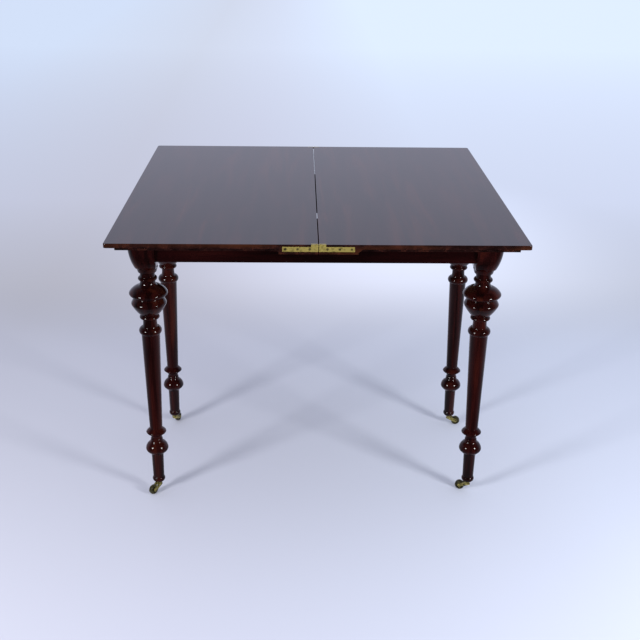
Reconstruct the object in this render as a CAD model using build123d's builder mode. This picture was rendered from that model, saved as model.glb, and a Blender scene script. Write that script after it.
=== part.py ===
from build123d import *
from math import cos, radians, sin
import os

os.makedirs("parts", exist_ok=True)

# The table open: origin on the floor under the middle of the top, front edge towards -Y.
table_height = 748.0
leaf_width = 440.0
leaf_depth = 880.0
leaf_thickness = 20.5
seam_gap = 1.5
arris_radius = 1.8
corner_radius = 7.0

# Clearances that mating pieces share.
slide_gap = 0.3
run_fit = 0.05
glue_gap = 0.1
overrun = 6.0

# Moulding under the edge of a leaf: an upright lip, a hollow and a plain step.
lip_height = 9.4
step_height = 3.8
hollow_depth = 20.0
hollow_stop = 82.0
hollow_slope = 10.0
hollow_swell_share = 0.09

# Frame under the top. A leg is placed by how far the closed top overhangs its head.
end_overhang = 6.6
side_overhang = 2.0
rail_height = 100.0
rail_thickness = 22.0
rail_setback = 8.0
rail_arris_radius = 2.0
tenon_thickness = 9.0
tenon_length = 26.0
tenon_shoulder = 12.0

# Leg: a square head that takes the rails, and a turned shaft below it.
castor_height = 29.4
head_height = 121.2
head_reach = 40.0
head_inset = 24.0
head_ankle = 27.5
head_sweep_height = 57.0
head_corner_radius = 25.0
shoulder_height = 24.0
sweep_swell_share = 0.053
shoulder_swell_share = 0.15
bulb_radius = 45.0

# Brass hinge let into the edge at each end of the seam, folding on two pins and a link.
hinge_length = 74.5
hinge_height = 10.5
hinge_drop = 4.5
hinge_thickness = 2.5
lobe_width = 15.5
lobe_depth = 7.8
pin_radius = 1.0
pin_drop = 2.8
pin_cover = 1.2
fold_gap = 0.4
link_radius = 2.2
link_thickness = 2.6
link_room = 0.3
hinge_screw_pitch = 25.0
hinge_screw_start = 18.0
screw_head_radius = 2.6
screw_shank_radius = 1.4
screw_length = 16.0
screw_slot_share = 0.25
hinge_screw_count = 3
countersink_angle = 90

# Pivot of the top: plate and spindle on the fixed leaf, washer and nut under the pivot rail.
pivot_plate_length = 90.0
pivot_plate_width = 60.0
pivot_plate_thickness = 3.0
pivot_plate_corner = 6.0
pivot_screw_inset = 10.0
spindle_radius = 8.0
spindle_end = 2.0
washer_radius = 20.0
washer_thickness = 2.5
nut_radius = 15.0
nut_height = 10.0
peg_reach = 100.0
peg_radius = 8.7
peg_length = 18.0
peg_tenon_radius = 6.0
peg_tenon_length = 14.0
stub_tenon = 8.0
stub_shoulder = 6.0

# Card well in the right half of the frame, open when the folded top is swivelled off it.
well_start = 42.0
well_depth = 68.0
well_floor_thickness = 8.0
partition_thickness = 12.0
partition_tongue = 5.0
bearer_width = 12.0
block_width = 25.0
block_length = 60.0

# Brass castor: plate with screw stem and spindle, horn, axle and wheel.
plate_radius = 9.5
plate_thickness = 1.6
stem_radius = 3.6
stem_tip_radius = 2.4
stem_length = 30.0
post_radius = 3.0
rivet_radius = 4.6
rivet_thickness = 1.5
boss_radius = 7.4
boss_waist = 6.2
boss_height = 8.4
wheel_radius = 12.0
wheel_width = 9.0
wheel_crown = 0.6
wheel_hub_radius = 4.6
wheel_rim_depth = 3.2
wheel_dish = 1.8
wheel_side_gap = 0.4
castor_trail = 20.0
axle_radius = 2.0
axle_head_radius = 3.2
axle_head_height = 0.9
axle_dome_share = 0.6
axle_dome_swell_share = 0.2
arm_thickness = 2.2
arm_end_radius = 4.2
arm_root_width = 8.0
arm_root_height = 6.0
castor_angles = {"front_left": -130, "front_right": 152, "back_left": 72, "back_right": 0}

# Levels and places that follow from the sizes above.
leaf_bottom = table_height - leaf_thickness
frame_top = leaf_bottom - slide_gap
frame_bottom = frame_top - rail_height
edge_y = leaf_depth / 2
leg_x = leaf_depth / 2 - end_overhang - head_reach
leg_y = leaf_width / 2 - side_overhang - head_reach
rail_face_x = leg_x + head_reach - rail_setback
rail_face_y = leg_y + head_reach - rail_setback
rail_back_x = rail_face_x - rail_thickness
rail_back_y = rail_face_y - rail_thickness
head_x = leg_x - head_inset
head_y = leg_y - head_inset
head_bottom = frame_top - head_height
turned_length = head_bottom - castor_height

pivot_x = -leaf_width / 4
pivot_y = leaf_width / 4

# The stop peg meets the pivot rail with the top open, and the back rail with the top closed.
peg_x = pivot_x + rail_back_y - pivot_y - slide_gap - peg_radius
peg_y = pivot_y - peg_reach
pivot_rail_width = 2 * (peg_x - pivot_x - peg_radius - slide_gap)
pivot_rail_bottom = frame_top - rail_thickness
washer_top = pivot_rail_bottom - slide_gap
nut_top = washer_top - washer_thickness

pin_offset = pin_drop + fold_gap / 2
pin_z = table_height - pin_drop
hinge_top = table_height - hinge_drop
hinge_bottom = hinge_top - hinge_height
screw_z = (hinge_top + hinge_bottom) / 2
slot_width = link_thickness + 2 * link_room

well_floor_top = frame_top - well_depth
bearer_top = well_floor_top - well_floor_thickness
bearer_bottom = bearer_top - bearer_width

legs = {
    "front_left": (-1, -1),
    "front_right": (1, -1),
    "back_left": (-1, 1),
    "back_right": (1, 1),
}
ends = {"front": -1, "back": 1}
sides = {"fixed": -1, "flap": 1}


def finish(piece, name):
    """Label a finished piece and write it."""
    piece.label = name
    export_step(piece, f"parts/{name}.step")


def block(x, y, z, mode=Mode.ADD):
    """A squared block between a pair of x, a pair of y and a pair of z."""
    with BuildSketch(Plane.XY.offset(min(z))) as base:
        with Locations(((x[0] + x[1]) / 2, (y[0] + y[1]) / 2)):
            Rectangle(abs(x[1] - x[0]), abs(y[1] - y[0]))
    extrude(base.sketch, amount=abs(z[1] - z[0]), mode=mode)


def swell(start, end, bulge):
    """A line from start to end, or an arc whose middle swells out by a share of that line."""
    if bulge == 0:
        Line(start, end)
        return
    across = (start[1] - end[1], end[0] - start[0])
    middle = tuple((start[i] + end[i]) / 2 + bulge * across[i] for i in (0, 1))
    ThreePointArc(start, middle, end)


# Screws


def make_screw(head_radius, shank_radius, length):
    """A countersunk slotted screw: head at the origin, pointing down."""
    cone = head_radius - shank_radius
    with BuildPart() as screw:
        with BuildSketch(Plane.XZ):
            with BuildLine():
                Polyline(
                    (0, 0),
                    (head_radius, 0),
                    (shank_radius, -cone),
                    (shank_radius, -length + shank_radius),
                    (0, -length),
                    close=True,
                )
            make_face()
        revolve(axis=Axis.Z)
        slot = head_radius * screw_slot_share
        block((-head_radius, head_radius), (-slot / 2, slot / 2), (-slot, slot), Mode.SUBTRACT)
    return screw.part


def place_all(piece, planes):
    """Copies of a piece, one on each plane, as one group."""
    with BuildPart() as group:
        with Locations(*planes):
            add(piece)
    return group.part


def hinge_screw_planes(side, way):
    """Where the screws of one hinge plate sit, facing out of the edge."""
    return [
        Plane(
            origin=(side * (hinge_screw_start + i * hinge_screw_pitch), way * edge_y, screw_z),
            z_dir=(0, way, 0),
        )
        for i in range(hinge_screw_count)
    ]


def pivot_screw_planes():
    """Where the screws of the pivot plate sit, facing down."""
    along = pivot_plate_length / 2 - pivot_screw_inset
    across = pivot_plate_width / 2 - pivot_screw_inset
    return [
        Plane(origin=(pivot_x + a * along, pivot_y + b * across, leaf_bottom), z_dir=(0, 0, -1))
        for a in (-1, 1)
        for b in (-1, 1)
    ]


# Leaves


def hollow_outline(edge):
    """Section of the hollow cut under an edge that stands at this distance out."""
    lip = table_height - lip_height
    step = leaf_bottom + step_height
    inner = edge - hollow_depth
    with BuildLine() as outline:
        Line((edge + overrun, lip), (edge, lip))
        swell((inner, step), (edge, lip), hollow_swell_share)
        Polyline(
            (inner, step),
            (inner, leaf_bottom - overrun),
            (edge + overrun, leaf_bottom - overrun),
            (edge + overrun, lip),
        )
    make_face(outline.edges())


def stopped_hollow(side, way):
    """The hollow under the front or back edge, which slopes out before the hinge."""
    lip = table_height - lip_height
    length = leaf_width + overrun
    with BuildPart() as hollow:
        with BuildSketch(Plane(origin=(0, 0, 0), x_dir=(0, way, 0), z_dir=(way, 0, 0))):
            hollow_outline(edge_y)
        extrude(amount=length, both=True)
        with BuildSketch(Plane(origin=(0, 0, 0), x_dir=(side, 0, 0), z_dir=(0, -side, 0))):
            with BuildLine():
                Polyline(
                    (hollow_stop + hollow_slope, lip),
                    (hollow_stop, leaf_bottom + step_height),
                    (hollow_stop, leaf_bottom - overrun),
                    (length, leaf_bottom - overrun),
                    (length, lip),
                    close=True,
                )
            make_face()
        extrude(amount=edge_y + overrun, both=True, mode=Mode.INTERSECT)
    return hollow.part


def make_leaf(side):
    """One leaf of the top, moulded on its three outer edges and let in for the hinges."""
    hollows = [stopped_hollow(side, way) for way in (-1, 1)]
    screw_planes = [plane for way in (-1, 1) for plane in hinge_screw_planes(side, way)]
    with BuildPart() as leaf:
        block(
            (side * seam_gap / 2, side * leaf_width),
            (-edge_y, edge_y),
            (leaf_bottom, table_height),
        )
        outermost = leaf.edges().filter_by(Axis.Z).group_by(Axis.X)[-1 if side > 0 else 0]
        fillet(outermost, corner_radius)
        fillet(leaf.faces().sort_by(Axis.Z)[-1].edges(), arris_radius)
        with BuildSketch(Plane(origin=(0, 0, 0), x_dir=(side, 0, 0), z_dir=(0, -side, 0))):
            hollow_outline(leaf_width)
        extrude(amount=edge_y + overrun, both=True, mode=Mode.SUBTRACT)
        for hollow in hollows:
            add(hollow, mode=Mode.SUBTRACT)
        for way in (-1, 1):
            block(
                (0, side * hinge_length),
                (way * (edge_y - hinge_thickness), way * (edge_y + overrun)),
                (hinge_bottom, hinge_top),
                Mode.SUBTRACT,
            )
            block(
                (0, side * lobe_width),
                (way * (edge_y - lobe_depth), way * (edge_y + overrun)),
                (hinge_bottom, table_height + overrun),
                Mode.SUBTRACT,
            )
        with Locations(*screw_planes):
            Hole(screw_shank_radius + glue_gap, screw_length + glue_gap)
    return leaf


def let_in_pivot(leaf):
    """Cut the seat of the pivot plate, its screw holes and the stop peg's hole in a leaf."""
    with BuildPart() as seat:
        add(leaf)
        with BuildSketch(Plane.XY.offset(leaf_bottom - overrun)):
            with Locations((pivot_x, pivot_y)):
                RectangleRounded(pivot_plate_length, pivot_plate_width, pivot_plate_corner)
        extrude(amount=overrun + pivot_plate_thickness, mode=Mode.SUBTRACT)
        with Locations(*pivot_screw_planes()):
            Hole(screw_shank_radius + glue_gap, screw_length + glue_gap)
        with Locations(Plane(origin=(peg_x, peg_y, leaf_bottom), z_dir=(0, 0, -1))):
            Hole(peg_tenon_radius + glue_gap, peg_tenon_length + glue_gap)
    return seat


fixed_leaf = let_in_pivot(make_leaf(sides["fixed"]).part)
finish(fixed_leaf.part, "fixed_leaf")

flap_leaf = make_leaf(sides["flap"])
finish(flap_leaf.part, "flap_leaf")


# Hinges


def make_hinge_plate(side, way):
    """The brass plate of one leaf: a strip in the edge and a lobe that holds the pin."""
    face = way * edge_y
    back = way * (edge_y - lobe_depth)
    middle = way * (edge_y - lobe_depth / 2)
    with BuildPart() as plate:
        block(
            (side * seam_gap / 2, side * hinge_length),
            (face, way * (edge_y - hinge_thickness)),
            (hinge_bottom, hinge_top),
        )
        block(
            (side * seam_gap / 2, side * lobe_width),
            (face, back),
            (hinge_bottom, table_height),
        )
        top = plate.faces().sort_by(Axis.Z)[-1].edges()
        at_seam = top.filter_by(Axis.Y).sort_by(Axis.X)[0 if side > 0 else -1]
        at_face = top.filter_by(Axis.X).sort_by(Axis.Y)[-1 if way > 0 else 0]
        fillet([at_seam, at_face], arris_radius)
        block(
            (0, side * (pin_offset + link_radius + link_room)),
            (middle - slot_width / 2, middle + slot_width / 2),
            (pin_z - link_radius - link_room, table_height + overrun),
            Mode.SUBTRACT,
        )
        with Locations(Plane(origin=(side * pin_offset, back, pin_z), z_dir=(0, -way, 0))):
            Hole(pin_radius + run_fit, lobe_depth - pin_cover)
        with Locations(*hinge_screw_planes(side, way)):
            CounterSinkHole(
                screw_shank_radius + glue_gap,
                screw_head_radius + glue_gap,
                lobe_depth + overrun,
                countersink_angle,
            )
    return plate.part


def make_link(way):
    """The link that joins the two pins of a hinge."""
    middle = way * (edge_y - lobe_depth / 2)
    with BuildPart() as link:
        with BuildSketch(Plane(origin=(0, middle, pin_z), x_dir=(1, 0, 0), z_dir=(0, 1, 0))):
            SlotCenterToCenter(2 * pin_offset, 2 * link_radius)
            with Locations((-pin_offset, 0), (pin_offset, 0)):
                Circle(pin_radius + run_fit, mode=Mode.SUBTRACT)
        extrude(amount=link_thickness / 2, both=True)
    return link.part


def make_pin(side, way):
    """A hinge pin, driven in from the back of the lobe."""
    back = way * (edge_y - lobe_depth)
    with BuildPart() as pin:
        with BuildSketch(Plane(origin=(side * pin_offset, back, pin_z), z_dir=(0, way, 0))):
            Circle(pin_radius)
        extrude(amount=lobe_depth - pin_cover - glue_gap)
    return pin.part


edge_screw = make_screw(screw_head_radius, screw_shank_radius, screw_length)
for end, way in ends.items():
    finish(make_link(way), f"{end}_hinge_link")
    for leaf, side in sides.items():
        finish(make_hinge_plate(side, way), f"{end}_hinge_{leaf}_plate")
        finish(make_pin(side, way), f"{end}_hinge_{leaf}_pin")
        finish(place_all(edge_screw, hinge_screw_planes(side, way)), f"{end}_hinge_{leaf}_screws")


# Pivot

with BuildPart() as pivot_plate:
    with BuildSketch(Plane.XY.offset(leaf_bottom)):
        with Locations((pivot_x, pivot_y)):
            RectangleRounded(pivot_plate_length, pivot_plate_width, pivot_plate_corner)
    extrude(amount=pivot_plate_thickness)
    with Locations(*pivot_screw_planes()):
        CounterSinkHole(
            screw_shank_radius + glue_gap,
            screw_head_radius + glue_gap,
            pivot_plate_thickness + overrun,
            countersink_angle,
        )
    with BuildSketch(Plane.XY.offset(leaf_bottom)):
        with Locations((pivot_x, pivot_y)):
            Circle(spindle_radius)
    extrude(amount=nut_top - nut_height - spindle_end - leaf_bottom)
finish(pivot_plate.part, "pivot_plate")

finish(place_all(edge_screw, pivot_screw_planes()), "pivot_screws")

with BuildPart() as pivot_washer:
    with BuildSketch(Plane.XY.offset(nut_top)):
        with Locations((pivot_x, pivot_y)):
            Circle(washer_radius)
            Circle(spindle_radius + run_fit, mode=Mode.SUBTRACT)
    extrude(amount=washer_thickness)
finish(pivot_washer.part, "pivot_washer")

with BuildPart() as pivot_nut:
    with BuildSketch(Plane.XY.offset(nut_top - nut_height)):
        with Locations((pivot_x, pivot_y)):
            RegularPolygon(nut_radius, 6)
            Circle(spindle_radius + run_fit, mode=Mode.SUBTRACT)
    extrude(amount=nut_height)
finish(pivot_nut.part, "pivot_nut")

with BuildPart() as stop_peg:
    with BuildSketch(Plane.XY.offset(leaf_bottom)):
        with Locations((peg_x, peg_y)):
            Circle(peg_tenon_radius)
    extrude(amount=peg_tenon_length)
    with BuildSketch(Plane.XY.offset(leaf_bottom)):
        with Locations((peg_x, peg_y)):
            Circle(peg_radius)
    extrude(amount=-peg_length)
    fillet(stop_peg.faces().sort_by(Axis.Z)[0].edges(), arris_radius)
finish(stop_peg.part, "stop_peg")


# Rails


def tenon(x, y):
    """A tenon on a rail, between these pairs of x and y, shouldered above and below."""
    block(x, y, (frame_bottom + tenon_shoulder, frame_top - tenon_shoulder))


def mortise(x, y):
    """The mortise that a tenon between these pairs of x and y goes in."""
    block(
        (min(x) - glue_gap, max(x) + glue_gap),
        (min(y) - glue_gap, max(y) + glue_gap),
        (frame_bottom + tenon_shoulder - glue_gap, frame_top - tenon_shoulder + glue_gap),
        Mode.SUBTRACT,
    )


def long_tenon_y(way):
    """How the tenons of the front or back rail lie across the rail's thickness."""
    middle = way * (rail_face_y - rail_thickness / 2)
    return (middle - tenon_thickness / 2, middle + tenon_thickness / 2)


def end_tenon_x(side):
    """How the tenons of an end rail lie across the rail's thickness."""
    middle = side * (rail_face_x - rail_thickness / 2)
    return (middle - tenon_thickness / 2, middle + tenon_thickness / 2)


stub_x = (
    pivot_x - pivot_rail_width / 2 + stub_shoulder,
    pivot_x + pivot_rail_width / 2 - stub_shoulder,
)
stub_z = (pivot_rail_bottom + stub_shoulder, frame_top - stub_shoulder)
partition_x = (well_start - partition_thickness, well_start)
tongue_x = (well_start - partition_thickness + partition_tongue, well_start)

for end, way in ends.items():
    with BuildPart() as long_rail:
        block((-head_x, head_x), (way * rail_back_y, way * rail_face_y), (frame_bottom, frame_top))
        outer_arris = long_rail.faces().sort_by(Axis.Z)[0].edges().filter_by(Axis.X)
        fillet(outer_arris.sort_by(Axis.Y)[-1 if way > 0 else 0], rail_arris_radius)
        for side in (-1, 1):
            tenon((side * head_x, side * (head_x + tenon_length)), long_tenon_y(way))
        block(
            (stub_x[0] - glue_gap, stub_x[1] + glue_gap),
            (way * (rail_back_y - overrun), way * (rail_back_y + stub_tenon + glue_gap)),
            (stub_z[0] - glue_gap, stub_z[1] + glue_gap),
            Mode.SUBTRACT,
        )
        block(
            (tongue_x[0] - glue_gap, tongue_x[1] + glue_gap),
            (way * (rail_back_y - overrun), way * (rail_back_y + partition_tongue + glue_gap)),
            (bearer_bottom - glue_gap, frame_top + overrun),
            Mode.SUBTRACT,
        )
    finish(long_rail.part, f"{end}_rail")

for end, side in {"left": -1, "right": 1}.items():
    with BuildPart() as end_rail:
        block(
            (side * rail_back_x, side * rail_face_x),
            (-head_y, head_y),
            (frame_bottom, frame_top),
        )
        outer_arris = end_rail.faces().sort_by(Axis.Z)[0].edges().filter_by(Axis.Y)
        fillet(outer_arris.sort_by(Axis.X)[-1 if side > 0 else 0], rail_arris_radius)
        for way in (-1, 1):
            tenon(end_tenon_x(side), (way * head_y, way * (head_y + tenon_length)))
    finish(end_rail.part, f"{end}_rail")

with BuildPart() as pivot_rail:
    block(
        (pivot_x - pivot_rail_width / 2, pivot_x + pivot_rail_width / 2),
        (-rail_back_y, rail_back_y),
        (pivot_rail_bottom, frame_top),
    )
    block(stub_x, (-rail_back_y - stub_tenon, rail_back_y + stub_tenon), stub_z)
    with Locations(Plane(origin=(pivot_x, pivot_y, frame_top), z_dir=(0, 0, 1))):
        Hole(spindle_radius + run_fit)
finish(pivot_rail.part, "pivot_rail")


# Card well

with BuildPart() as well_partition:
    block(partition_x, (-rail_back_y, rail_back_y), (bearer_bottom, frame_top))
    tongue_y = rail_back_y + partition_tongue
    block(tongue_x, (-tongue_y, tongue_y), (bearer_bottom, frame_top))
finish(well_partition.part, "well_partition")

with BuildPart() as well_floor:
    block(
        (well_start + glue_gap, rail_back_x - glue_gap),
        (-rail_back_y + glue_gap, rail_back_y - glue_gap),
        (bearer_top, well_floor_top),
    )
    for way in (-1, 1):
        block(
            (head_x - glue_gap, rail_back_x + overrun),
            (way * (head_y - glue_gap), way * (rail_back_y + overrun)),
            (bearer_top - overrun, well_floor_top + overrun),
            Mode.SUBTRACT,
        )
finish(well_floor.part, "well_floor")

with BuildPart() as well_bearers:
    bearer_z = (bearer_bottom, bearer_top)
    bearer_y = rail_back_y - bearer_width
    for way in (-1, 1):
        block((well_start, head_x), (way * bearer_y, way * rail_back_y), bearer_z)
    block((rail_back_x - bearer_width, rail_back_x), (-head_y, head_y), bearer_z)
    block(
        (well_start, well_start + bearer_width),
        (-bearer_y + glue_gap, bearer_y - glue_gap),
        bearer_z,
    )
finish(well_bearers.part, "well_bearers")


def glue_block(corner, toward_x, toward_y):
    """A three-cornered block glued in a corner of the frame."""
    with BuildSketch(Plane.XY.offset(frame_top - tenon_shoulder - block_length)) as base:
        with BuildLine():
            Polyline(
                corner,
                (corner[0] + toward_x * block_width, corner[1]),
                (corner[0], corner[1] + toward_y * block_width),
                close=True,
            )
        make_face()
    extrude(base.sketch, amount=block_length)


with BuildPart() as glue_blocks:
    for way in (-1, 1):
        glue_block((-head_x, way * rail_back_y), 1, -way)
        glue_block((-rail_back_x, way * head_y), 1, -way)
        for side in (-1, 1):
            middle = pivot_x + side * (pivot_rail_width - block_width) / 2
            block(
                (middle - block_width / 2, middle + block_width / 2),
                (way * (rail_back_y - block_width), way * rail_back_y),
                (pivot_rail_bottom - block_width, pivot_rail_bottom),
            )
finish(glue_blocks.part, "glue_blocks")


# Legs

# Each member of the turning, from the head down: how far down it ends, as a share of the
# turned length; how far out it ends, as a share of the bulb's radius; and how far its middle
# swells out, as a share of its own length.
turning_shares = (
    (0.0199, 0.487, 0.000),
    (0.0243, 0.391, -0.100),
    (0.0416, 0.382, 0.000),
    (0.0565, 0.400, 0.575),
    (0.0789, 0.480, -0.120),
    (0.1058, 0.984, 0.100),
    (0.1171, 0.980, 0.160),
    (0.1304, 0.742, 0.080),
    (0.1483, 0.889, 0.030),
    (0.1622, 0.896, 0.140),
    (0.2085, 0.453, 0.040),
    (0.2102, 0.453, 0.000),
    (0.2234, 0.384, 0.600),
    (0.2608, 0.398, -0.050),
    (0.2931, 0.489, 0.370),
    (0.7360, 0.340, 0.000),
    (0.7506, 0.533, 0.040),
    (0.7562, 0.533, 0.180),
    (0.7693, 0.318, 0.055),
    (0.7874, 0.327, -0.120),
    (0.8037, 0.400, -0.100),
    (0.8333, 0.616, 0.118),
    (0.8437, 0.569, 0.080),
    (0.8621, 0.329, 0.020),
    (0.9733, 0.300, 0.000),
    (0.9771, 0.309, -0.150),
    (1.0000, 0.236, 0.234),
)
turning_start_share = 0.567


def head_outline():
    """A head seen square on, from its inner face at the left to its swept outer face."""
    sweep_top = head_bottom + head_sweep_height
    with BuildLine() as outline:
        Polyline(
            (head_reach, sweep_top),
            (head_reach, frame_top),
            (-head_inset, frame_top),
            (-head_inset, head_bottom),
            (head_ankle, head_bottom),
        )
        swell((head_reach, sweep_top), (head_ankle, head_bottom), sweep_swell_share)
    make_face(outline.edges())


def make_leg(side, way):
    """A leg: its head is square inside the frame, and swept and rounded outside it."""
    axis_x = side * leg_x
    axis_y = way * leg_y
    leg_axis = Axis((axis_x, axis_y, 0), (0, 0, 1))
    front_view = Plane(origin=(axis_x, axis_y, 0), x_dir=(side, 0, 0), z_dir=(0, -side, 0))
    side_view = Plane(origin=(axis_x, axis_y, 0), x_dir=(0, way, 0), z_dir=(way, 0, 0))
    with BuildPart() as leg:
        with BuildSketch(front_view):
            head_outline()
        extrude(amount=2 * head_reach, both=True)
        with BuildSketch(side_view):
            head_outline()
        extrude(amount=2 * head_reach, both=True, mode=Mode.INTERSECT)
        far = (axis_x + side * head_reach, axis_y + way * head_reach)
        corner = leg.edges().filter_by(lambda e: e.length > head_sweep_height / 2).sort_by(
            lambda e: (Vector(*far) - Vector(e.center().X, e.center().Y)).length
        )[:2]
        fillet(corner, head_corner_radius)
        with BuildSketch(front_view):
            with BuildLine():
                shoulder_top = head_bottom + shoulder_height
                Polyline(
                    (head_ankle, head_bottom),
                    (0, head_bottom),
                    (0, frame_top),
                    (2 * head_reach, frame_top),
                    (2 * head_reach, shoulder_top),
                    (head_reach + rail_setback, shoulder_top),
                )
                swell(
                    (head_reach + rail_setback, shoulder_top),
                    (head_ankle, head_bottom),
                    shoulder_swell_share,
                )
            make_face()
        revolve(axis=leg_axis, mode=Mode.INTERSECT)
        with BuildSketch(front_view):
            with BuildLine():
                start = (turning_start_share * bulb_radius, head_bottom)
                Line((0, head_bottom), start)
                for down, out, bulge in turning_shares:
                    end = (out * bulb_radius, head_bottom - down * turned_length)
                    swell(start, end, bulge)
                    start = end
                Polyline(start, (0, castor_height), (0, head_bottom))
            make_face()
        revolve(axis=leg_axis)
        mortise((side * head_x, side * (head_x + tenon_length)), long_tenon_y(way))
        mortise(end_tenon_x(side), (way * head_y, way * (head_y + tenon_length)))
        with Locations(Plane(origin=(axis_x, axis_y, castor_height), z_dir=(0, 0, -1))):
            Hole(stem_radius + glue_gap, stem_length + glue_gap)
    return leg.part


for name, (side, way) in legs.items():
    finish(make_leg(side, way), f"{name}_leg")


# Castors

boss_top = castor_height - plate_thickness - slide_gap
boss_bottom = boss_top - boss_height
rivet_top = boss_bottom - slide_gap


def make_castor_plate(name, side, way):
    """The fixed part of a castor: screw stem, plate and riveted spindle, turned as one."""
    view = Plane(origin=(side * leg_x, way * leg_y, 0), x_dir=(1, 0, 0), z_dir=(0, -1, 0))
    plate_bottom = castor_height - plate_thickness
    with BuildPart() as plate:
        with BuildSketch(view):
            with BuildLine():
                Polyline(
                    (0, castor_height + stem_length),
                    (stem_tip_radius, castor_height + stem_length),
                    (stem_radius, castor_height),
                    (plate_radius, castor_height),
                    (plate_radius, plate_bottom),
                    (post_radius, plate_bottom),
                    (post_radius, rivet_top),
                    (rivet_radius, rivet_top),
                    (rivet_radius, rivet_top - rivet_thickness / 2),
                    (post_radius, rivet_top - rivet_thickness),
                    (0, rivet_top - rivet_thickness),
                    close=True,
                )
            make_face()
        revolve(axis=Axis((side * leg_x, way * leg_y, 0), (0, 0, 1)))
    finish(plate.part, f"{name}_castor_plate")


def make_castor_swivel(name, side, way, angle):
    """The horn, axle and wheel of a castor, which trail behind its spindle at this angle."""
    centre = Vector(side * leg_x, way * leg_y, 0)
    trail = Vector(cos(radians(angle)), sin(radians(angle)), 0)
    across = Vector(sin(radians(angle)), -cos(radians(angle)), 0)
    hub = centre + trail * castor_trail + Vector(0, 0, wheel_radius)
    side_view = Plane(origin=centre, x_dir=trail, z_dir=across)
    hub_view = Plane(origin=hub, x_dir=across, z_dir=-trail)
    spindle = Axis(centre, (0, 0, 1))
    axle_axis = Axis(hub, across)
    arm_in = wheel_width / 2 + wheel_side_gap
    arm_out = arm_in + arm_thickness

    with BuildPart() as horn:
        with BuildSketch(side_view):
            with BuildLine():
                Polyline(
                    (boss_radius, boss_bottom),
                    (post_radius + run_fit, boss_bottom),
                    (post_radius + run_fit, boss_top),
                    (boss_radius, boss_top),
                )
                waist = (boss_waist, (boss_top + boss_bottom) / 2)
                ThreePointArc((boss_radius, boss_top), waist, (boss_radius, boss_bottom))
            make_face()
        revolve(axis=spindle)
        for way_out in (-1, 1):
            start = min(way_out * arm_in, way_out * arm_out)
            with BuildSketch(side_view.offset(start)):
                with Locations((castor_trail, wheel_radius)):
                    Circle(arm_end_radius)
                with Locations((0, boss_bottom + arm_root_height / 2)):
                    Rectangle(arm_root_width, arm_root_height)
                make_hull()
            extrude(amount=arm_thickness)
        with Locations(Plane(origin=hub, z_dir=across)):
            Cylinder(axle_radius + run_fit, 2 * (arm_out + overrun), mode=Mode.SUBTRACT)
    finish(horn.part, f"{name}_castor_horn")

    with BuildPart() as axle:
        with BuildSketch(hub_view):
            with BuildLine():
                head = arm_out + axle_head_height
                dome = axle_head_radius * axle_dome_share
                Polyline(
                    (0, 0),
                    (0, axle_radius),
                    (arm_out, axle_radius),
                    (arm_out, axle_head_radius),
                )
                swell((arm_out, axle_head_radius), (head, dome), axle_dome_swell_share)
                Polyline((head, dome), (head, 0), (0, 0))
            make_face()
        revolve(axis=axle_axis)
        mirror(about=Plane(origin=hub, z_dir=across))
    finish(axle.part, f"{name}_castor_axle")

    with BuildPart() as wheel:
        half = wheel_width / 2
        web = half - wheel_dish
        rim = wheel_radius - wheel_crown
        rim_inside = rim - wheel_rim_depth
        with BuildSketch(hub_view):
            with BuildLine():
                Polyline(
                    (half, rim),
                    (half, rim_inside),
                    (web, rim_inside),
                    (web, wheel_hub_radius),
                    (half, wheel_hub_radius),
                    (half, axle_radius + run_fit),
                    (-half, axle_radius + run_fit),
                    (-half, wheel_hub_radius),
                    (-web, wheel_hub_radius),
                    (-web, rim_inside),
                    (-half, rim_inside),
                    (-half, rim),
                )
                ThreePointArc((-half, rim), (0, wheel_radius), (half, rim))
            make_face()
        revolve(axis=axle_axis)
    finish(wheel.part, f"{name}_castor_wheel")


for name, (side, way) in legs.items():
    make_castor_plate(name, side, way)
    make_castor_swivel(name, side, way, castor_angles[name])
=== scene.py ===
from math import atan, ceil, cos, radians, sin, sqrt

import bmesh
import bpy
from mathutils import Matrix, Vector


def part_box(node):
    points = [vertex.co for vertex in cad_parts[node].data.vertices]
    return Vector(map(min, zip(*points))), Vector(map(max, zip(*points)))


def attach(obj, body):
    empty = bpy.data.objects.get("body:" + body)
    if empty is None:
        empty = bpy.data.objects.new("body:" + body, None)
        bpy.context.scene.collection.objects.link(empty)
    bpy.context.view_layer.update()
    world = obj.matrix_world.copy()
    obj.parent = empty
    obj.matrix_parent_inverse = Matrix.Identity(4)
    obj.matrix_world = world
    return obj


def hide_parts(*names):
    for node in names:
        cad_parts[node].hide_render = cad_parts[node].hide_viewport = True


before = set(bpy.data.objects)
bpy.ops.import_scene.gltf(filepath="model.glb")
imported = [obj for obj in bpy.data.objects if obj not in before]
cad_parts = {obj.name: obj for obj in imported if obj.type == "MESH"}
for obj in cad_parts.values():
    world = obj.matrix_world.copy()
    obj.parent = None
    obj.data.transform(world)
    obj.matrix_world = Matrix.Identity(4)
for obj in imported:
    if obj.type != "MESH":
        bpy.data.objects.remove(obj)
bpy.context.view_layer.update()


# Turned legs. Each is one length of dark mahogany: a square head, morticed for the rails, and
# below it a shaft turned on the lathe into a bulb, beads and a long taper. It is stained, French
# polished and glued up with the rails.

mm = 0.001
corners = ("front_left", "front_right", "back_left", "back_right")
castor_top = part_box("front_left_leg")[0].z
head_bottom = 606 * mm
turned_length = head_bottom - castor_top
bulb_radius = 45 * mm
neck_radius = 25.515 * mm
stem_hole_radius = 4.2 * mm
stem_hole_depth = 30 * mm
turning_overlap = 1 * mm
head_cut = 0.05 * mm
arc_flatness = 0.02 * mm
turned_arris = 0.35 * mm
turning_sides = 72
lathe_axis_radius = 0.01 * mm
pole_merge_distance = 0.03 * mm
merge_distance = 0.001 * mm
arris_angle = radians(28)
pore_shade = "#0a0302"

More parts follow.
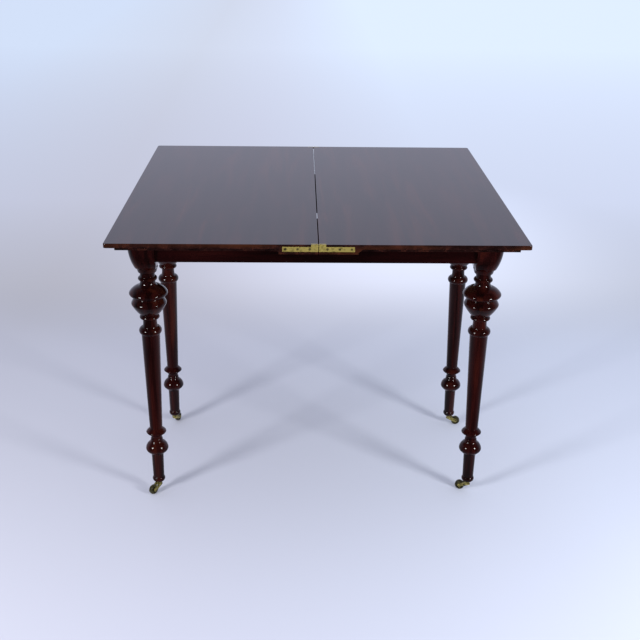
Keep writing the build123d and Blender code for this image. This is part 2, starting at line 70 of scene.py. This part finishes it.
# Each member of the turning, from the head down: how far down it ends, as a share of the
# turned length; how far out it ends, as a share of the bulb's radius; and how far its middle
# swells out, as a share of its own length.
turning_shares = (
    (0.0199, 0.487, 0.000),
    (0.0243, 0.391, -0.100),
    (0.0416, 0.382, 0.000),
    (0.0565, 0.400, 0.575),
    (0.0789, 0.480, -0.120),
    (0.1058, 0.984, 0.100),
    (0.1171, 0.980, 0.160),
    (0.1304, 0.742, 0.080),
    (0.1483, 0.889, 0.030),
    (0.1622, 0.896, 0.140),
    (0.2085, 0.453, 0.040),
    (0.2102, 0.453, 0.000),
    (0.2234, 0.384, 0.600),
    (0.2608, 0.398, -0.050),
    (0.2931, 0.489, 0.370),
    (0.7360, 0.340, 0.000),
    (0.7506, 0.533, 0.040),
    (0.7562, 0.533, 0.180),
    (0.7693, 0.318, 0.055),
    (0.7874, 0.327, -0.120),
    (0.8037, 0.400, -0.100),
    (0.8333, 0.616, 0.118),
    (0.8437, 0.569, 0.080),
    (0.8621, 0.329, 0.020),
    (0.9733, 0.300, 0.000),
    (0.9771, 0.309, -0.150),
    (1.0000, 0.236, 0.234),
)

# Fine rings cut with the point of the chisel: how far down, as a share of the turned length.
ring_shares = (0.124,)
ring_width = 1.4 * mm
ring_depth = 0.6 * mm


def linear(code):
    """An sRGB hex colour as the linear colour that a shader takes."""
    parts = [int(code[at : at + 2], 16) / 255 for at in (1, 3, 5)]
    return [p / 12.92 if p <= 0.04045 else ((p + 0.055) / 1.055) ** 2.4 for p in parts] + [1]


def add_node(tree, kind, links=None, stops=(), **settings):
    """Adds a node with its settings, its links or fixed inputs, and the stops of its ramp."""
    node = tree.nodes.new(kind)
    for field, value in settings.items():
        setattr(node, field, value)
    for socket, source in (links or {}).items():
        if isinstance(source, bpy.types.NodeSocket):
            tree.links.new(source, node.inputs[socket])
        else:
            node.inputs[socket].default_value = source
    for place, (position, colour) in enumerate(stops):
        ramp = node.color_ramp.elements
        stop = ramp[place] if place < len(ramp) else ramp.new(position)
        stop.position = position
        stop.color = linear(colour)
    return node


def new_finish(name):
    """An empty material, its node tree and the place of each point on the object."""
    finish = bpy.data.materials.new(name)
    finish.use_nodes = True
    finish.node_tree.nodes.clear()
    place = add_node(finish.node_tree, "ShaderNodeTexCoord").outputs["Object"]
    return finish, finish.node_tree, place


def grain_noise(tree, place, grain, size, detail, distortion=0.0):
    """Noise drawn out along the grain, which runs along x, y or z; size is across and along."""
    across, along = size
    scale = [1 / along if axis == grain else 1 / across for axis in "xyz"]
    drawn = add_node(tree, "ShaderNodeMapping", {"Vector": place, "Scale": scale})
    noise = add_node(
        tree,
        "ShaderNodeTexNoise",
        {"Vector": drawn.outputs[0], "Scale": 1.0, "Detail": detail, "Distortion": distortion},
    )
    return noise.outputs["Fac"]


# The wood's figure and the finer streaks in it, as sizes across and along the grain. Real pores
# are about 0.2 mm across and 3 mm long, too fine to show, so they are drawn coarser.
figure_size = (30 * mm, 380 * mm)
streak_size = (3 * mm, 120 * mm)
pore_size = (0.8 * mm, 9 * mm)
worn_size = (30 * mm, 240 * mm)
streak_share = 0.30
figure_levels = (0.50, 0.68, 0.88)
pore_levels = (0.60, 0.72)
pore_darkness = 0.55
worn_levels = (0.62, 0.90)
worn_fade = 1 * mm
bare_roughness = (0.26, 0.42)
grain_relief = 0.3 * mm


def polished_mahogany(name, grain, shades, polish_roughness, polish_ior, worn=None):
    """French polished mahogany: dark red-brown figure and short pores under clear shellac.

    The eye sees near black wood with slow red streaks, and all its gloss is the clear sharp
    reflection of the shellac. Wear is long brown patches, given as their colour, their share,
    the way they run and how far out from the middle of the table they start."""
    finish, tree, place = new_finish(name)
    figure = grain_noise(tree, place, grain, figure_size, detail=3.0, distortion=0.8)
    streaks = grain_noise(tree, place, grain, streak_size, detail=2.0, distortion=0.3)
    pores = grain_noise(tree, place, grain, pore_size, detail=2.0)
    mixed = add_node(
        tree, "ShaderNodeMath", {0: streaks, 1: streak_share, 2: figure}, operation="MULTIPLY_ADD"
    )
    ramp = {"Fac": mixed.outputs[0]}
    wood = add_node(tree, "ShaderNodeValToRGB", ramp, stops=zip(figure_levels, shades))
    open_pores = add_node(
        tree,
        "ShaderNodeMapRange",
        {
            "Value": pores,
            "From Min": pore_levels[0],
            "From Max": pore_levels[1],
            "To Max": pore_darkness,
        },
    )
    colour = add_node(
        tree,
        "ShaderNodeMix",
        {0: open_pores.outputs[0], 6: wood.outputs[0], 7: linear(pore_shade)},
        data_type="RGBA",
    )
    if worn:
        worn_shade, worn_share, worn_way, worn_from = worn
        rubbed = grain_noise(tree, place, worn_way, worn_size, detail=1.0, distortion=0.2)
        bare = add_node(
            tree,
            "ShaderNodeMapRange",
            {
                "Value": rubbed,
                "From Min": worn_levels[0] - worn_share,
                "From Max": worn_levels[1] - worn_share,
            },
        )
        spread = add_node(tree, "ShaderNodeVectorMath", {0: place}, operation="ABSOLUTE")
        sides = add_node(tree, "ShaderNodeSeparateXYZ", {"Vector": spread.outputs[0]}).outputs
        out = add_node(tree, "ShaderNodeMath", {0: sides["X"], 1: sides["Y"]}, operation="MAXIMUM")
        at_edge = add_node(
            tree,
            "ShaderNodeMapRange",
            {"Value": out.outputs[0], "From Min": worn_from, "From Max": worn_from + worn_fade},
        )
        bare = add_node(
            tree,
            "ShaderNodeMath",
            {0: bare.outputs[0], 1: at_edge.outputs[0]},
            operation="MULTIPLY",
        )
        colour = add_node(
            tree,
            "ShaderNodeMix",
            {0: bare.outputs[0], 6: colour.outputs[2], 7: linear(worn_shade)},
            data_type="RGBA",
        )
    dulled = add_node(
        tree,
        "ShaderNodeMapRange",
        {"Value": streaks, "To Min": bare_roughness[0], "To Max": bare_roughness[1]},
    )
    relief = add_node(
        tree,
        "ShaderNodeBump",
        {"Height": mixed.outputs[0], "Strength": 0.10, "Distance": grain_relief},
    )
    shader = add_node(
        tree,
        "ShaderNodeBsdfPrincipled",
        {
            "Base Color": colour.outputs[2],
            "Roughness": dulled.outputs[0],
            "Normal": relief.outputs[0],
            "IOR": 1.5,
            "Specular IOR Level": 0.0,
            "Coat Weight": 1.0,
            "Coat Roughness": polish_roughness,
            "Coat IOR": polish_ior,
        },
    )
    add_node(tree, "ShaderNodeOutputMaterial", {"Surface": shader.outputs[0]})
    return finish


def dress(names, finish):
    """Gives CAD nodes their finish; their shapes stay as they are."""
    for name in names:
        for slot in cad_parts[name].material_slots:
            slot.material = finish


def swelling(start, end, bulge):
    """Points from start to end round an arc, without start; bulge is its rise over its chord."""
    chord = end - start
    across = Vector((-chord.y, chord.x))
    if not bulge:
        return [end]
    half = 2 * atan(2 * bulge)
    count = max(2, ceil(sqrt(abs(bulge) * chord.length / arc_flatness)))
    points = []
    for step in range(1, count + 1):
        turn = half * (2 * step / count - 1)
        along = (sin(turn) / sin(half) + 1) / 2
        rise = (cos(turn) - cos(half)) / (2 * sin(half))
        points.append(start + chord * along + across * rise)
    return points


def cut_rings(outline):
    """The outline with a small V cut into it at each ring."""
    for share in ring_shares:
        level = head_bottom - share * turned_length
        upper = max(p for p in range(len(outline)) if outline[p].y > level + ring_width / 2)
        below = range(upper + 1, len(outline))
        lower = min(p for p in below if outline[p].y < level - ring_width / 2)
        fall = (outline[lower] - outline[upper]) / (outline[lower].y - outline[upper].y)
        lip, root, sill = [
            outline[upper] + fall * (height - outline[upper].y)
            for height in (level + ring_width / 2, level, level - ring_width / 2)
        ]
        root.x -= ring_depth
        outline = outline[: upper + 1] + [lip, root, sill] + outline[lower:]
    return outline


def leg_outline():
    """Half the turned shaft as seen from the side, from its end in the head to the stem's hole."""
    start = Vector((neck_radius, head_bottom))
    outline = [Vector((0, head_bottom + turning_overlap)), start + Vector((0, turning_overlap))]
    for down, out, bulge in turning_shares:
        end = Vector((out * bulb_radius, head_bottom - down * turned_length))
        outline += swelling(start, end, bulge)
        start = end
    hole_top = castor_top + stem_hole_depth
    outline = cut_rings(outline)
    return outline + [
        Vector((stem_hole_radius, castor_top)),
        Vector((stem_hole_radius, hole_top)),
        Vector((0, hole_top)),
    ]


def turning_tree():
    """The lathe: an outline is carried round its axis, with its arrises eased."""
    tree = bpy.data.node_groups.new("lathe", "GeometryNodeTree")
    sockets = {"Outline": "Geometry", "Sides": "Int", "Arris": "Float", "Wood": "Material"}
    for name, kind in sockets.items():
        tree.interface.new_socket(name, in_out="INPUT", socket_type=f"NodeSocket{kind}")
    tree.interface.new_socket("Turning", in_out="OUTPUT", socket_type="NodeSocketGeometry")
    given = add_node(tree, "NodeGroupInput").outputs
    line = add_node(tree, "GeometryNodeMeshToCurve", {"Mesh": given["Outline"]})
    eased = add_node(
        tree,
        "GeometryNodeFilletCurve",
        {"Curve": line.outputs[0], "Radius": given["Arris"], "Limit Radius": True, "Count": 2},
        mode="POLY",
    )
    axis = add_node(
        tree,
        "GeometryNodeCurvePrimitiveCircle",
        {"Resolution": given["Sides"], "Radius": lathe_axis_radius},
    )
    turned = add_node(
        tree,
        "GeometryNodeCurveToMesh",
        {"Curve": axis.outputs[0], "Profile Curve": eased.outputs[0]},
    )
    closed = add_node(
        tree,
        "GeometryNodeMergeByDistance",
        {"Geometry": turned.outputs[0], "Distance": pole_merge_distance},
    )
    real = add_node(tree, "GeometryNodeRealizeInstances", {"Geometry": closed.outputs[0]})
    stained = add_node(
        tree, "GeometryNodeSetMaterial", {"Geometry": real.outputs[0], "Material": given["Wood"]}
    )
    add_node(tree, "NodeGroupOutput", {"Turning": stained.outputs[0]})
    return tree


def grown(name, mesh, tree, inputs):
    """The plain mesh that a tree makes of a mesh, with the tree's inputs set by name."""
    blank = bpy.data.objects.new(name, mesh)
    bpy.context.scene.collection.objects.link(blank)
    modifier = blank.modifiers.new(tree.name, "NODES")
    modifier.node_group = tree
    for socket in tree.interface.items_tree:
        if socket.in_out == "INPUT" and socket.name in inputs:
            modifier[socket.identifier] = inputs[socket.name]
    bpy.context.view_layer.update()
    seen = blank.evaluated_get(bpy.context.evaluated_depsgraph_get())
    made = bpy.data.meshes.new_from_object(seen)
    blank.modifiers.clear()
    bpy.data.objects.remove(blank)
    return made


def leg_head(node):
    """The square head of a leg, cut off square just above the turning and closed."""
    head = bmesh.new()
    head.from_mesh(node.data)
    bmesh.ops.remove_doubles(head, verts=head.verts, dist=merge_distance)
    cut = bmesh.ops.bisect_plane(
        head,
        geom=head.verts[:] + head.edges[:] + head.faces[:],
        plane_co=(0, 0, head_bottom + head_cut),
        plane_no=(0, 0, 1),
        clear_inner=True,
    )
    rim = [part for part in cut["geom_cut"] if isinstance(part, bmesh.types.BMEdge)]
    bmesh.ops.holes_fill(head, edges=rim)
    for face in head.faces:
        face.material_index = 0
    return head


leg_mahogany = polished_mahogany(
    "leg_mahogany",
    "z",
    shades=("#0e0303", "#210807", "#33110b"),
    polish_roughness=0.04,
    polish_ior=1.30,
    worn=("#3c190e", 0.02, "z", 0),
)
shaft_line = bpy.data.meshes.new("leg_outline")
shaft_points = [(point.x, -point.y, 0) for point in leg_outline()]
shaft_line.from_pydata(shaft_points, [(at, at + 1) for at in range(len(shaft_points) - 1)], [])
lathe_inputs = {"Sides": turning_sides, "Arris": turned_arris, "Wood": leg_mahogany}
turned_shaft = grown("turned_shaft", shaft_line, turning_tree(), lathe_inputs)

for corner in corners:
    stem_low, stem_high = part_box(f"{corner}_castor_plate")
    foot = (stem_low + stem_high) / 2
    shaft = turned_shaft.copy()
    shaft.transform(Matrix.Translation((foot.x, foot.y, 0)))
    leg_shape = leg_head(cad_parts[f"{corner}_leg"])
    leg_shape.from_mesh(shaft)
    leg_mesh = bpy.data.meshes.new(f"{corner}_turned_leg")
    leg_shape.to_mesh(leg_mesh)
    leg_mesh.materials.append(leg_mahogany)
    leg_mesh.shade_smooth()
    leg_mesh.set_sharp_from_angle(angle=arris_angle)
    leg = bpy.data.objects.new(f"{corner}_turned_leg", leg_mesh)
    bpy.context.scene.collection.objects.link(leg)
    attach(leg, "root")
    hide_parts(f"{corner}_leg")


# Rails. Four mahogany boards on edge, tenoned into the heads of the legs and set back a little
# behind them, polished like the legs.

rail_shades = ("#0c0202", "#180404", "#240907")
long_rail_mahogany = polished_mahogany("long_rail_mahogany", "x", rail_shades, 0.08, 1.30)
end_rail_mahogany = polished_mahogany("end_rail_mahogany", "y", rail_shades, 0.08, 1.30)
dress(("front_rail", "back_rail"), long_rail_mahogany)
dress(("left_rail", "right_rail"), end_rail_mahogany)


# Pivot rail, glue blocks and card well. Plain deal that is never seen with the top closed: sawn,
# planed by hand and rubbed in with hot glue, gone brown with age.


# Growth lines and fibres, across and along the grain. The fibres are drawn coarser than they
# are, because real ones are too fine to show.
growth_size = (7 * mm, 260 * mm)
fibre_size = (1.2 * mm, 40 * mm)
fibre_share = 0.4
growth_levels = (0.50, 0.70, 0.90)
plane_relief = 0.4 * mm


def aged_deal(name, grain, shades):
    """Bare pine, planed and unpolished: dull, yellow-brown, with wide darker growth lines."""
    finish, tree, place = new_finish(name)
    growth = grain_noise(tree, place, grain, growth_size, detail=2.0, distortion=0.6)
    fibre = grain_noise(tree, place, grain, fibre_size, detail=3.0)
    mixed = add_node(
        tree, "ShaderNodeMath", {0: fibre, 1: fibre_share, 2: growth}, operation="MULTIPLY_ADD"
    )
    ramp = {"Fac": mixed.outputs[0]}
    wood = add_node(tree, "ShaderNodeValToRGB", ramp, stops=zip(growth_levels, shades))
    relief = add_node(
        tree,
        "ShaderNodeBump",
        {"Height": mixed.outputs[0], "Strength": 0.3, "Distance": plane_relief},
    )
    shader = add_node(
        tree,
        "ShaderNodeBsdfPrincipled",
        {
            "Base Color": wood.outputs[0],
            "Roughness": 0.72,
            "IOR": 1.45,
            "Normal": relief.outputs[0],
        },
    )
    add_node(tree, "ShaderNodeOutputMaterial", {"Surface": shader.outputs[0]})
    return finish


cross_deal = aged_deal("cross_deal", "y", ("#5a3c20", "#7c5732", "#96703f"))
upright_deal = aged_deal("upright_deal", "z", ("#543619", "#73502c", "#8c683a"))
dress(("pivot_rail", "well_partition", "well_floor", "well_bearers"), cross_deal)
dress(("glue_blocks",), upright_deal)


# Castors. Cast and turned brass, the plate screwed up into the foot on its stem, the horn free
# to turn under it and the wheel free on its axle; handled and never polished, so it is dark.

patch_size = 6 * mm
tarnish_levels = (0.62, 0.78)
rubbed_smoother = 0.08
tarnish_rougher = 0.16
cast_relief = 0.3 * mm


def dulled_brass(name, metal, tarnish, amount, roughness, clean):
    """Old brass: warm metal where it is rubbed, and brown-green tarnish in patches.

    The eye sees a dull yellow with broad soft lights. Clean is the share of the face that still
    shines as bare metal; the rest is under a matt film of oxide and old polish."""
    finish, tree, place = new_finish(name)
    patches = add_node(
        tree, "ShaderNodeTexNoise", {"Vector": place, "Scale": 1 / patch_size, "Detail": 4.0}
    )
    spread = add_node(
        tree,
        "ShaderNodeMapRange",
        {
            "Value": patches.outputs["Fac"],
            "From Min": tarnish_levels[0] - amount / 2,
            "From Max": tarnish_levels[1] - amount / 2,
        },
    )
    colour = add_node(
        tree,
        "ShaderNodeMix",
        {0: spread.outputs[0], 6: linear(metal), 7: linear(tarnish)},
        data_type="RGBA",
    )
    dulled = add_node(
        tree,
        "ShaderNodeMapRange",
        {
            "Value": patches.outputs["Fac"],
            "To Min": roughness - rubbed_smoother,
            "To Max": roughness + tarnish_rougher,
        },
    )
    relief = add_node(
        tree,
        "ShaderNodeBump",
        {"Height": patches.outputs["Fac"], "Strength": 0.12, "Distance": cast_relief},
    )
    shader = add_node(
        tree,
        "ShaderNodeBsdfPrincipled",
        {
            "Base Color": colour.outputs[2],
            "Metallic": clean,
            "Roughness": dulled.outputs[0],
            "Normal": relief.outputs[0],
        },
    )
    add_node(tree, "ShaderNodeOutputMaterial", {"Surface": shader.outputs[0]})
    return finish


castor_brass = dulled_brass("castor_brass", "#a3975a", "#3c3a1e", 0.34, 0.26, 0.7)
wheel_brass = dulled_brass("wheel_brass", "#5f5a3c", "#26261a", 0.40, 0.22, 0.7)
for corner in corners:
    dress([f"{corner}_castor_{part}" for part in ("plate", "horn", "axle")], castor_brass)
    dress([f"{corner}_castor_wheel"], wheel_brass)


# Pivot of the top. A forged iron plate with a riveted spindle, let into the underside of the
# fixed leaf with countersunk screws, and held under the pivot rail by a washer and a square nut.

rust_size = 9 * mm
scale_relief = 0.5 * mm
rust_stops = ((0.35, "#1d1b1a"), (0.55, "#2b2624"), (0.70, "#4a2f20"))


def forged_iron(name):
    """Old forged iron: near black scale with brown rust showing through, dull all over."""
    finish, tree, place = new_finish(name)
    rust = add_node(
        tree, "ShaderNodeTexNoise", {"Vector": place, "Scale": 1 / rust_size, "Detail": 5.0}
    )
    colour = add_node(tree, "ShaderNodeValToRGB", {"Fac": rust.outputs["Fac"]}, stops=rust_stops)
    relief = add_node(
        tree,
        "ShaderNodeBump",
        {"Height": rust.outputs["Fac"], "Strength": 0.3, "Distance": scale_relief},
    )
    shader = add_node(
        tree,
        "ShaderNodeBsdfPrincipled",
        {
            "Base Color": colour.outputs[0],
            "Metallic": 0.6,
            "Roughness": 0.55,
            "Normal": relief.outputs[0],
        },
    )
    add_node(tree, "ShaderNodeOutputMaterial", {"Surface": shader.outputs[0]})
    return finish


dress(("pivot_plate", "pivot_screws", "pivot_washer", "pivot_nut"), forged_iron("forged_iron"))
dress(("stop_peg",), upright_deal)


# Leaves. Two mahogany boards with their grain from front to back, a hollow moulding planed under
# each outer edge; the flap is polished on both faces, because it is the closed table's top.

leaf_wear_from = 438 * mm
leaf_mahogany = polished_mahogany(
    "leaf_mahogany",
    "y",
    shades=("#100504", "#1e0c0a", "#371a12"),
    polish_roughness=0.12,
    polish_ior=1.42,
    worn=("#40200f", 0.16, "x", leaf_wear_from),
)
dress(("fixed_leaf", "flap_leaf"), leaf_mahogany)


# Hinges. Cast brass plates let into the front and back edges of the two leaves, each with three
# countersunk screws, and a link between them on two pins, so that the leaves fold flat together.

hinge_brass = dulled_brass("hinge_brass", "#a0904c", "#6f642e", 0.20, 0.28, 0.4)
hinge_parts = ("fixed_plate", "fixed_pin", "link", "flap_pin", "flap_plate")
screw_brass = dulled_brass("screw_brass", "#6e6236", "#332c16", 0.30, 0.24, 0.5)
for side in ("front", "back"):
    dress([f"{side}_hinge_{part}" for part in hinge_parts], hinge_brass)
    dress([f"{side}_hinge_{leaf}_screws" for leaf in ("fixed", "flap")], screw_brass)


# Studio. The table stands on a plain pale floor that runs up into a pale backdrop, between two
# softboxes a little above the top, left and right in front of it.

floor_size = 50.0
floor_shade = "#dbdeef"
dim_shade = "#3a3a40"
distance_shade = "#d6dff4"

# In metres: where the floor passes into the backdrop behind the table and all round it, how deep
# and how wide the backdrop's tones run, and where the mirrored floor goes dim, a painted dark
# reflection of a floor that is lit.
lost_behind = (0.6, 1.4)
lost_around = (1.6, 3.0)
backdrop_depth = 8.0
backdrop_sides = (-5.0, 2.0)
dim_before = (-0.7, 0.5)

# The backdrop's tones from near to far, darkest just behind the table as painted shade; its
# tones from left to right, a painted shade that also darkens and warms the floor to the left;
# and the painted pool of light in it: how it is scaled, its place once scaled, and its glow in
# the middle and outside it.
depth_stops = (
    (0.056, "#ccd1e5"),
    (0.075, "#b8bccd"),
    (0.112, "#b4b6c6"),
    (0.312, "#c7cce3"),
    (1.0, "#d6e0f7"),
)
side_shade_stops = ((0.36, "#e5e9ea"), (0.57, "#e4e2df"), (0.67, "#eae9e8"), (0.82, "#f4f8f8"))
pool_scale = (0.80, 0.60, 1)
pool_place = (-0.27, -0.95, 0)
pool_glow = (1.84, 1.25)

floor_shape = bmesh.new()
bmesh.ops.create_grid(floor_shape, x_segments=1, y_segments=1, size=floor_size / 2)
floor_mesh = bpy.data.meshes.new("studio_floor")
floor_shape.to_mesh(floor_mesh)
studio_floor = bpy.data.objects.new("studio_floor", floor_mesh)
bpy.context.scene.collection.objects.link(studio_floor)


def pale_floor():
    """Matt painted floor: pale blue-grey, and lost in the backdrop beyond the table.

    The backdrop and floor are darker and warmer to the left, a painted shade, and the backdrop
    has a soft painted pool of light behind the table. Polish mirrors the backdrop too, but in it
    the floor goes dim from under the table forwards, a painted dark reflection."""
    finish, tree, place = new_finish("pale_floor")
    spot = add_node(tree, "ShaderNodeSeparateXYZ", {"Vector": place})
    reach = add_node(tree, "ShaderNodeVectorMath", {0: place}, operation="LENGTH")
    behind = add_node(
        tree,
        "ShaderNodeMapRange",
        {"Value": spot.outputs["Y"], "From Min": lost_behind[0], "From Max": lost_behind[1]},
        interpolation_type="SMOOTHSTEP",
    )
    around = add_node(
        tree,
        "ShaderNodeMapRange",
        {
            "Value": reach.outputs["Value"],
            "From Min": lost_around[0],
            "From Max": lost_around[1],
        },
        interpolation_type="SMOOTHSTEP",
    )
    lost = add_node(
        tree, "ShaderNodeMath", {0: behind.outputs[0], 1: around.outputs[0]}, operation="MAXIMUM"
    )
    # Backdrop tones by depth: a painted shade, darkest just behind the table and paler far back.
    depth = add_node(
        tree, "ShaderNodeMapRange", {"Value": spot.outputs["Y"], "From Max": backdrop_depth}
    )
    backdrop = add_node(tree, "ShaderNodeValToRGB", {"Fac": depth.outputs[0]}, stops=depth_stops)
    # Painted shade: the floor's paint and the backdrop grow darker and warmer towards the left.
    sideways = add_node(
        tree,
        "ShaderNodeMapRange",
        {
            "Value": spot.outputs["X"],
            "From Min": backdrop_sides[0],
            "From Max": backdrop_sides[1],
        },
    )
    side_shade = add_node(tree, "ShaderNodeValToRGB", {"Fac": sideways.outputs[0]}, stops=side_shade_stops)
    toned = add_node(
        tree,
        "ShaderNodeMix",
        {0: 1.0, 6: backdrop.outputs[0], 7: side_shade.outputs[0]},
        data_type="RGBA",
        blend_type="MULTIPLY",
    )
    # A painted pool of light: the backdrop glows brighter behind the table.
    from_pool = add_node(
        tree,
        "ShaderNodeMapping",
        {"Vector": place, "Location": pool_place, "Scale": pool_scale},
    )
    pool_reach = add_node(
        tree, "ShaderNodeVectorMath", {0: from_pool.outputs[0]}, operation="LENGTH"
    )
    pool = add_node(
        tree,
        "ShaderNodeMapRange",
        {
            "Value": pool_reach.outputs["Value"],
            "To Min": pool_glow[0],
            "To Max": pool_glow[1],
        },
        interpolation_type="SMOOTHSTEP",
    )
    glow = add_node(
        tree, "ShaderNodeEmission", {"Color": toned.outputs[2], "Strength": pool.outputs[0]}
    )
    side_shaded_paint = add_node(
        tree,
        "ShaderNodeMix",
        {0: 1.0, 6: linear(floor_shade), 7: side_shade.outputs[0]},
        data_type="RGBA",
        blend_type="MULTIPLY",
    )
    paint = add_node(tree, "ShaderNodeBsdfDiffuse", {"Color": side_shaded_paint.outputs[2]})
    ray = add_node(tree, "ShaderNodeLightPath").outputs
    mirrored = add_node(
        tree,
        "ShaderNodeMath",
        {0: ray["Is Glossy Ray"], 1: ray["Is Transmission Ray"]},
        operation="MAXIMUM",
    )
    seen = add_node(
        tree,
        "ShaderNodeMath",
        {0: ray["Is Camera Ray"], 1: mirrored.outputs[0]},
        operation="MAXIMUM",
    )
    share = add_node(
        tree, "ShaderNodeMath", {0: lost.outputs[0], 1: seen.outputs[0]}, operation="MULTIPLY"
    )
    pale = add_node(
        tree, "ShaderNodeMixShader", {0: share.outputs[0], 1: paint.outputs[0], 2: glow.outputs[0]}
    )
    # Painted dark reflection: in what is polished, the lit floor from under the table forwards
    # shows as a dim glow.
    before = add_node(
        tree,
        "ShaderNodeMapRange",
        {
            "Value": spot.outputs["Y"],
            "From Min": dim_before[0],
            "From Max": dim_before[1],
            "To Min": 1.0,
            "To Max": 0.0,
        },
    )
    painted_dark_mirror = add_node(
        tree,
        "ShaderNodeMath",
        {0: before.outputs[0], 1: mirrored.outputs[0]},
        operation="MULTIPLY",
    )
    dim = add_node(tree, "ShaderNodeEmission", {"Color": linear(dim_shade), "Strength": 1.0})
    shader = add_node(
        tree, "ShaderNodeMixShader", {0: painted_dark_mirror.outputs[0], 1: pale.outputs[0], 2: dim.outputs[0]}
    )
    add_node(tree, "ShaderNodeOutputMaterial", {"Surface": shader.outputs[0]})
    return finish


floor_mesh.materials.append(pale_floor())

# The room lights the table evenly. Polish mirrors a pale backdrop, and a dim room in front of the
# table and overhead.
fill_shade = "#eef2ff"
fill_strength = 0.77
room_stops = ((0.0, dim_shade), (0.45, "#4a4b54"), (0.62, "#bcbcd5"), (1.0, "#d9dbf4"))
overhead_from = (0.40, 0.75)
overhead_strength = 0.2
room = bpy.data.worlds.new("pale_room")
room.use_nodes = True
room_tree = room.node_tree
room_tree.nodes.clear()
outward = add_node(room_tree, "ShaderNodeTexCoord").outputs["Generated"]
way = add_node(room_tree, "ShaderNodeSeparateXYZ", {"Vector": outward})
backward = add_node(
    room_tree, "ShaderNodeMapRange", {"Value": way.outputs["Y"], "From Min": -1.0, "From Max": 1.0}
)
mirrored_room = add_node(
    room_tree, "ShaderNodeValToRGB", {"Fac": backward.outputs[0]}, stops=room_stops
)
room_ray = add_node(room_tree, "ShaderNodeLightPath").outputs
fill = add_node(
    room_tree, "ShaderNodeBackground", {"Color": linear(fill_shade), "Strength": fill_strength}
)
overhead = add_node(
    room_tree,
    "ShaderNodeMapRange",
    {
        "Value": way.outputs["Z"],
        "From Min": overhead_from[0],
        "From Max": overhead_from[1],
        "To Min": 1.0,
        "To Max": overhead_strength,
    },
)
mirror = add_node(
    room_tree,
    "ShaderNodeBackground",
    {"Color": mirrored_room.outputs[0], "Strength": overhead.outputs[0]},
)
distance = add_node(
    room_tree, "ShaderNodeBackground", {"Color": linear(distance_shade), "Strength": 1.0}
)
lit = add_node(
    room_tree,
    "ShaderNodeMixShader",
    {0: room_ray["Is Glossy Ray"], 1: fill.outputs[0], 2: mirror.outputs[0]},
)
shown = add_node(
    room_tree,
    "ShaderNodeMath",
    {0: room_ray["Is Camera Ray"], 1: room_ray["Is Transmission Ray"]},
    operation="MAXIMUM",
)
sky = add_node(
    room_tree,
    "ShaderNodeMixShader",
    {0: shown.outputs[0], 1: lit.outputs[0], 2: distance.outputs[0]},
)
add_node(room_tree, "ShaderNodeOutputWorld", {"Surface": sky.outputs[0]})
bpy.context.scene.world = room

softbox_size = 0.5
softbox_place = Vector((1.95, -1.75, 1.15))
softbox_aim = Vector((0, 0, 0.5))
for side, watts in ((-1, 42), (1, 43)):
    softbox_data = bpy.data.lights.new("softbox", "AREA")
    softbox_data.energy = watts
    softbox_data.size = softbox_size
    softbox = bpy.data.objects.new("softbox", softbox_data)
    softbox.location = (side * softbox_place.x, softbox_place.y, softbox_place.z)
    softbox.rotation_euler = (softbox_aim - softbox.location).to_track_quat("-Z", "Y").to_euler()
    bpy.context.scene.collection.objects.link(softbox)

# The camera stands in front of the table at chest height and looks down on it.
camera_place = (-41 * mm, -2403.5 * mm, 1404 * mm)
camera_turn = -1.33
camera_tilt = -22.71
camera_roll = -0.73
lens_length = 56.93
film_width = 36
camera_data = bpy.data.cameras.new("camera")
camera_data.lens = lens_length
camera_data.sensor_width = film_width
camera_data.clip_end = 100
camera = bpy.data.objects.new("camera", camera_data)
aim = (
    Matrix.Rotation(radians(camera_turn), 4, "Z")
    @ Matrix.Rotation(radians(camera_tilt), 4, "X")
    @ Matrix.Rotation(radians(camera_roll), 4, "Y")
    @ Matrix.Rotation(radians(90), 4, "X")
)
camera.matrix_world = Matrix.Translation(camera_place) @ aim
bpy.context.scene.collection.objects.link(camera)
bpy.context.scene.camera = camera
bpy.context.scene.view_settings.view_transform = "Standard"
